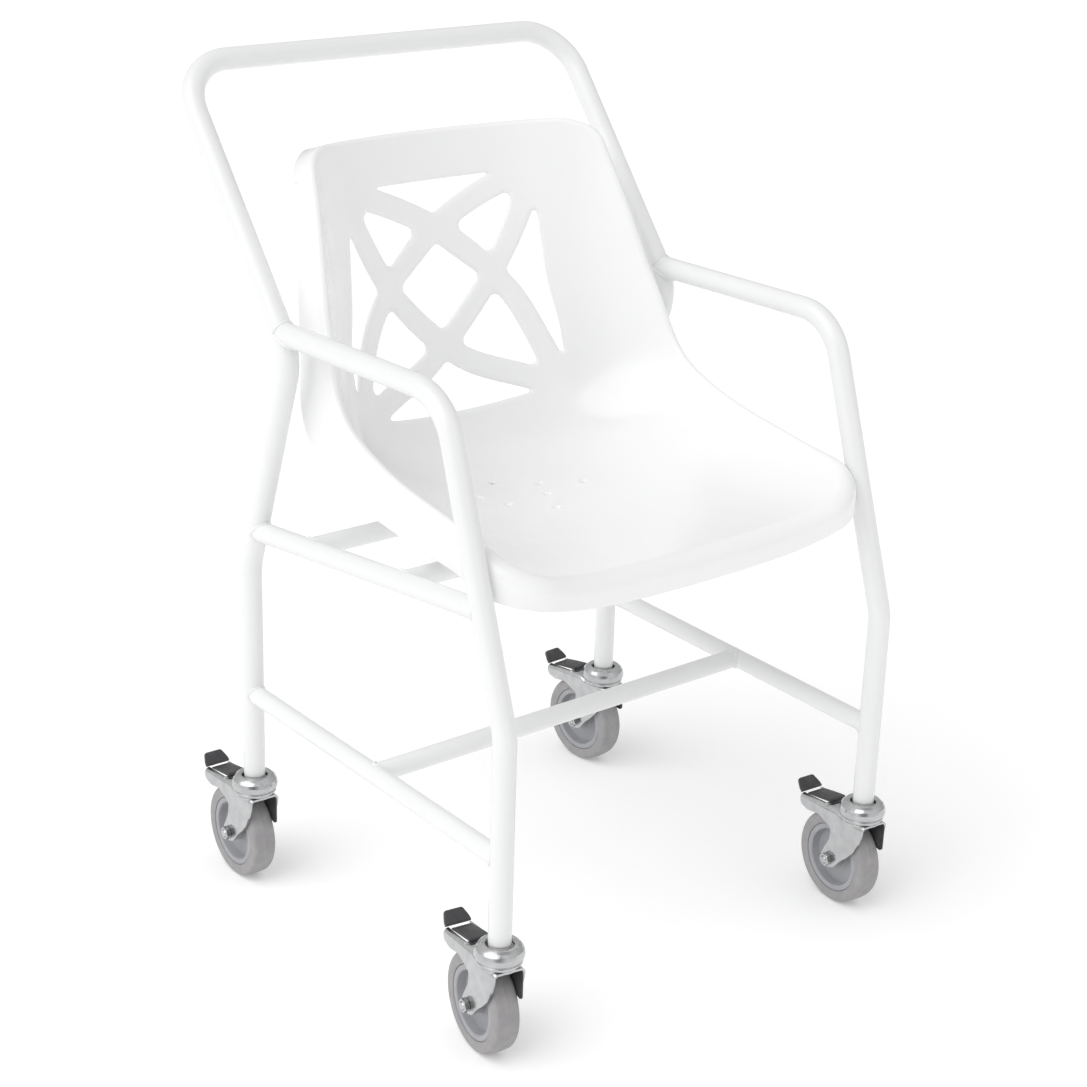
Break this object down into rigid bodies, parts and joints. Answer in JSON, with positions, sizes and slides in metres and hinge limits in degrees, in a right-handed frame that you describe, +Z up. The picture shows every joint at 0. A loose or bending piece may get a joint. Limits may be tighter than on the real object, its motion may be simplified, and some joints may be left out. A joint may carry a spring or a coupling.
{
  "type": "mobile shower chair",
  "caption": "White tubular steel shower and commode chair on braked swivel castors, with arm rests, a push handle and a moulded plastic seat shell with a pierced back.",
  "frame": {"origin": "on the floor, under the middle of the chair's overall width and depth", "axes": "+Z up, -Y the way the sitter faces, +X to the sitter's left"},
  "size_m": [0.53, 0.5731, 0.8622],
  "materials": {
    "white_powder_coat": "smooth gloss white powder coat",
    "white_plastic": "glossy white moulded plastic",
    "zinc_plate": "bright zinc plate",
    "black_plastic": "satin black moulded plastic",
    "grey_rubber": "matt grey non-marking rubber",
    "grey_hub_plastic": "satin grey moulded plastic",
    "natural_nylon": "satin natural nylon"
  },
  "bodies": {
    "frame": {"rear_frame_tube": "white_powder_coat", "left_arm_and_front_leg": "white_powder_coat", "right_arm_and_front_leg": "white_powder_coat", "left_seat_rail": "white_powder_coat", "right_seat_rail": "white_powder_coat", "left_lower_rail": "white_powder_coat", "right_lower_rail": "white_powder_coat", "lower_cross_bar": "white_powder_coat", "rear_seat_bar": "white_powder_coat", "front_seat_bar": "white_powder_coat", "seat_shell": "white_plastic", "rear_seat_saddle": "natural_nylon", "front_seat_saddle": "natural_nylon", "front_left_stem": "natural_nylon", "front_left_swivel_cup": "zinc_plate", "front_right_stem": "natural_nylon", "front_right_swivel_cup": "zinc_plate", "rear_left_stem": "natural_nylon", "rear_left_swivel_cup": "zinc_plate", "rear_right_stem": "natural_nylon", "rear_right_swivel_cup": "zinc_plate"},
    "front_left_swivel": {"front_left_fork": "zinc_plate", "front_left_thread_guard": "black_plastic", "front_left_axle_bolt": "zinc_plate", "front_left_axle_nut": "zinc_plate"},
    "front_left_wheel": {"front_left_hub": "grey_hub_plastic", "front_left_tyre": "grey_rubber"},
    "front_left_pedal": {"front_left_pedal_lever": "zinc_plate", "front_left_pedal_pad": "black_plastic", "front_left_pedal_tab": "black_plastic"},
    "front_right_swivel": {"front_right_fork": "zinc_plate", "front_right_thread_guard": "black_plastic", "front_right_axle_bolt": "zinc_plate", "front_right_axle_nut": "zinc_plate"},
    "front_right_wheel": {"front_right_hub": "grey_hub_plastic", "front_right_tyre": "grey_rubber"},
    "front_right_pedal": {"front_right_pedal_lever": "zinc_plate", "front_right_pedal_pad": "black_plastic", "front_right_pedal_tab": "black_plastic"},
    "rear_left_swivel": {"rear_left_fork": "zinc_plate", "rear_left_thread_guard": "black_plastic", "rear_left_axle_bolt": "zinc_plate", "rear_left_axle_nut": "zinc_plate"},
    "rear_left_wheel": {"rear_left_hub": "grey_hub_plastic", "rear_left_tyre": "grey_rubber"},
    "rear_left_pedal": {"rear_left_pedal_lever": "zinc_plate", "rear_left_pedal_pad": "black_plastic", "rear_left_pedal_tab": "black_plastic"},
    "rear_right_swivel": {"rear_right_fork": "zinc_plate", "rear_right_thread_guard": "black_plastic", "rear_right_axle_bolt": "zinc_plate", "rear_right_axle_nut": "zinc_plate"},
    "rear_right_wheel": {"rear_right_hub": "grey_hub_plastic", "rear_right_tyre": "grey_rubber"},
    "rear_right_pedal": {"rear_right_pedal_lever": "zinc_plate", "rear_right_pedal_pad": "black_plastic", "rear_right_pedal_tab": "black_plastic"}
  },
  "joints": [
    {"name": "front_left_swivel_turn", "type": "hinge", "parent": "frame", "child": "front_left_swivel", "pos_m": [0.2405, -0.2615, 0.11], "axis": [0, 0, 1], "continuous": true},
    {"name": "front_left_wheel_spin", "type": "hinge", "parent": "front_left_swivel", "child": "front_left_wheel", "pos_m": [0.24279, -0.23309, 0.05], "axis": [0.9968, -0.0802, 0], "continuous": true},
    {"name": "front_left_brake_press", "type": "hinge", "parent": "front_left_swivel", "child": "front_left_pedal", "pos_m": [0.24367, -0.22213, 0.10788], "axis": [-0.9968, 0.0802, 0], "range_deg": [0, 9]},
    {"name": "front_right_swivel_turn", "type": "hinge", "parent": "frame", "child": "front_right_swivel", "pos_m": [-0.2405, -0.2615, 0.11], "axis": [0, 0, 1], "continuous": true},
    {"name": "front_right_wheel_spin", "type": "hinge", "parent": "front_right_swivel", "child": "front_right_wheel", "pos_m": [-0.23619, -0.23333, 0.05], "axis": [0.9885, -0.1513, 0], "continuous": true},
    {"name": "front_right_brake_press", "type": "hinge", "parent": "front_right_swivel", "child": "front_right_pedal", "pos_m": [-0.23453, -0.22245, 0.10788], "axis": [-0.9885, 0.1513, 0], "range_deg": [0, 9]},
    {"name": "rear_left_swivel_turn", "type": "hinge", "parent": "frame", "child": "rear_left_swivel", "pos_m": [0.2405, 0.1585, 0.11], "axis": [0, 0, 1], "continuous": true},
    {"name": "rear_left_wheel_spin", "type": "hinge", "parent": "rear_left_swivel", "child": "rear_left_wheel", "pos_m": [0.23921, 0.18697, 0.05], "axis": [0.999, 0.0454, 0], "continuous": true},
    {"name": "rear_left_brake_press", "type": "hinge", "parent": "rear_left_swivel", "child": "rear_left_pedal", "pos_m": [0.23871, 0.19796, 0.10788], "axis": [-0.999, -0.0454, 0], "range_deg": [0, 9]},
    {"name": "rear_right_swivel_turn", "type": "hinge", "parent": "frame", "child": "rear_right_swivel", "pos_m": [-0.2405, 0.1585, 0.11], "axis": [0, 0, 1], "continuous": true},
    {"name": "rear_right_wheel_spin", "type": "hinge", "parent": "rear_right_swivel", "child": "rear_right_wheel", "pos_m": [-0.23941, 0.18698, 0.05], "axis": [0.9993, -0.0384, 0], "continuous": true},
    {"name": "rear_right_brake_press", "type": "hinge", "parent": "rear_right_swivel", "child": "rear_right_pedal", "pos_m": [-0.23898, 0.19797, 0.10788], "axis": [-0.9993, 0.0384, 0], "range_deg": [0, 9]}
  ]
}
